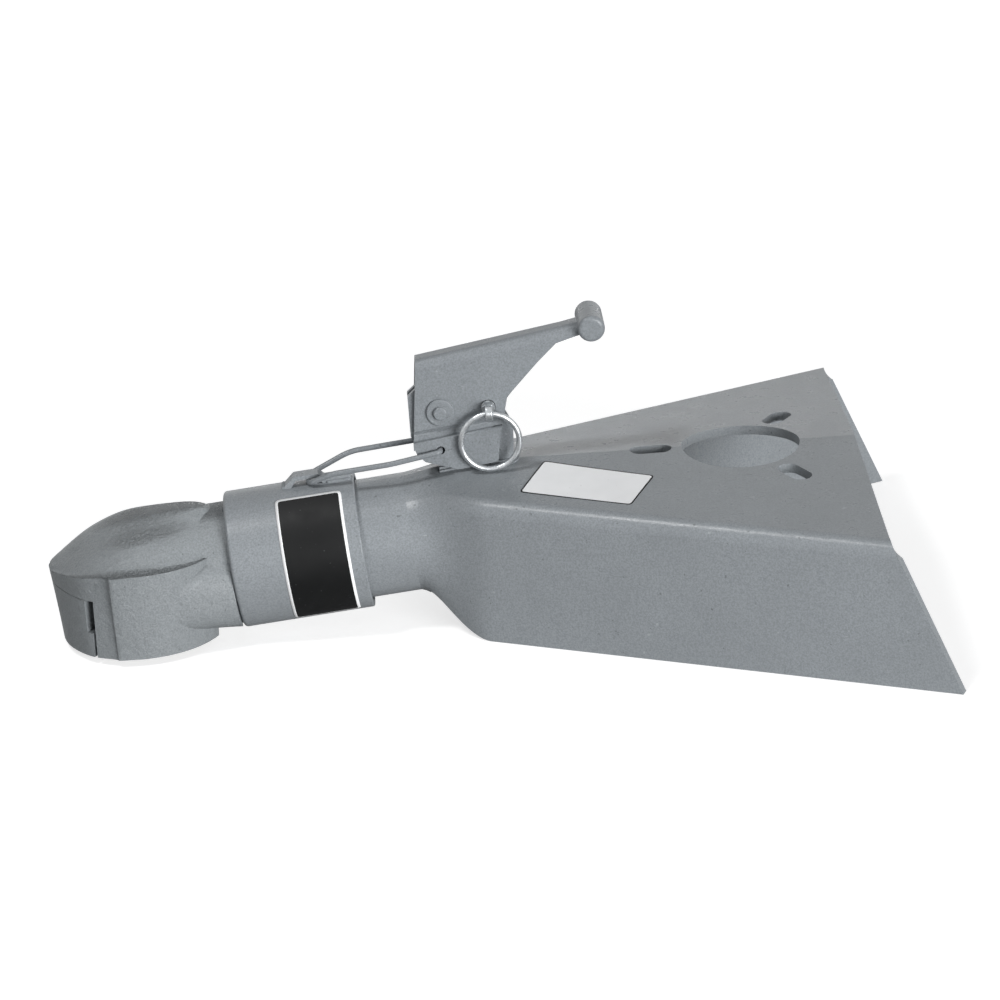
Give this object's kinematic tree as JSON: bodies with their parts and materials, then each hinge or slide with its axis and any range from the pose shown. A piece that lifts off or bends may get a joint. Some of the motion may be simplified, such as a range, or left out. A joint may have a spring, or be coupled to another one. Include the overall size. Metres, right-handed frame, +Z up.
{
  "type": "a-frame trailer coupler",
  "caption": "A-frame trailer coupler: ball socket with hinged clamp, sliding lock collar, lever with lock pin, and a formed channel with a jack hole.",
  "frame": {"origin": "centre of the tow ball when it is seated in the socket", "axes": "+X back to the trailer along the centre line, +Y to the side away from the pull ring, +Z up; the top plate's centre line is level"},
  "size_m": [0.4454, 0.2936, 0.1582],
  "materials": {
    "grey_primer": "satin bluish grey primer",
    "zinc": "bright zinc",
    "black_label": "matte film with a white border, bare",
    "white_label": "matte film, bare"
  },
  "bodies": {
    "frame": {"a_frame_channel": "grey_primer", "socket_head": "grey_primer", "shank_weld": "grey_primer", "clamp_hinge_pin": "zinc", "lever_bracket": "grey_primer", "bracket_weld": "grey_primer", "pivot_rivet": "grey_primer", "pivot_washers": "grey_primer", "plate_label": "white_label"},
    "collar": {"lock_collar": "grey_primer", "collar_bail": "grey_primer", "bail_welds": "grey_primer", "collar_label": "black_label"},
    "clamp": {"ball_clamp": "grey_primer"},
    "lever": {"lever": "grey_primer", "lever_cross_bar": "grey_primer", "yoke_hooks": "grey_primer"},
    "yoke": {"yoke": "grey_primer"},
    "lock_pin": {"lock_pin": "zinc"},
    "pull_ring": {"pull_ring": "zinc"}
  },
  "joints": [
    {"name": "lever_hinge", "type": "hinge", "parent": "frame", "child": "lever", "pos_m": [0.1591, 0, 0.0816], "axis": [0, -1, 0], "range_deg": [0, 60]},
    {"name": "collar_slide", "type": "slide", "parent": "frame", "child": "collar", "axis": [0.9951, 0, 0.0986], "range_m": [0, 0.0192]},
    {"name": "yoke_hinge", "type": "hinge", "parent": "collar", "child": "yoke", "pos_m": [0.09044, 0, 0.04764], "axis": [0, -1, 0], "range_deg": [0, 5.7]},
    {"name": "clamp_hinge", "type": "hinge", "parent": "frame", "child": "clamp", "pos_m": [0.07646, 0, -0.00901], "axis": [0, -1, 0], "range_deg": [0, 24]},
    {"name": "lock_pin_slide", "type": "slide", "parent": "lever", "child": "lock_pin", "axis": [0, -1, 0], "range_m": [0, 0.018]},
    {"name": "pull_ring_hinge", "type": "hinge", "parent": "lock_pin", "child": "pull_ring", "pos_m": [0.1832, -0.0137, 0.08107], "axis": [-1, 0, 0], "range_deg": [0, 90]}
  ],
  "couplings": [
    {"joint": "collar_slide", "follows": "lever_hinge", "m_per_rad": 0.018334},
    {"joint": "yoke_hinge", "follows": "lever_hinge", "ratio": 0.095},
    {"joint": "clamp_hinge", "follows": "lever_hinge", "ratio": 0.4}
  ]
}
